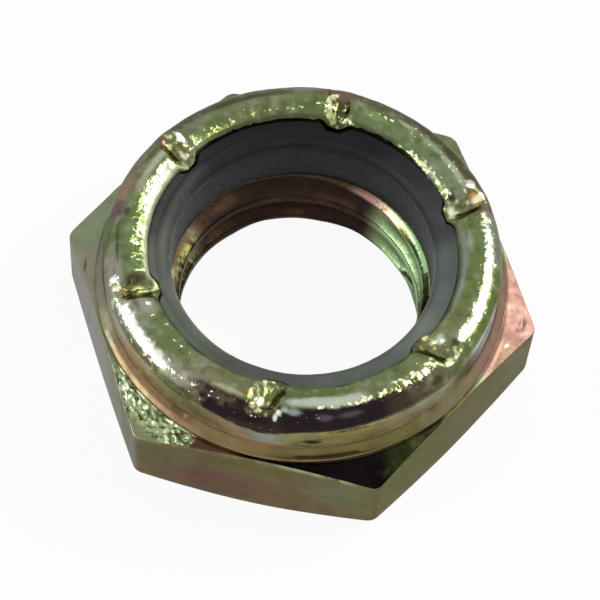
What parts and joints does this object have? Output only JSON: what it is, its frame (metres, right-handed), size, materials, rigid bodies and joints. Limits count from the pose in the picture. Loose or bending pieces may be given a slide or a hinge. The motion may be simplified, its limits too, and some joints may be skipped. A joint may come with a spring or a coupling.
{
  "type": "nylon insert lock nut",
  "caption": "Thin hexagon lock nut of plated steel: a rolled and staked collar holds a nylon ring that grips the bolt's thread.",
  "frame": {"origin": "centre of the bearing face, on the thread's axis", "axes": "+Z along the thread's axis from the bearing face towards the nylon ring, +X towards a corner of the hexagon, +Y towards the middle of a flat"},
  "size_m": [0.0326, 0.0286, 0.0112],
  "materials": {
    "plated_steel": "bright yellow zinc plating with an olive green, gold and rose sheen, satin on the flats and glossy on the rolled lip",
    "nylon": "satin dark grey nylon with small burrs on its inner edge"
  },
  "bodies": {
    "root": {"nut_body": "plated_steel", "nylon_ring": "nylon"}
  },
  "joints": []
}
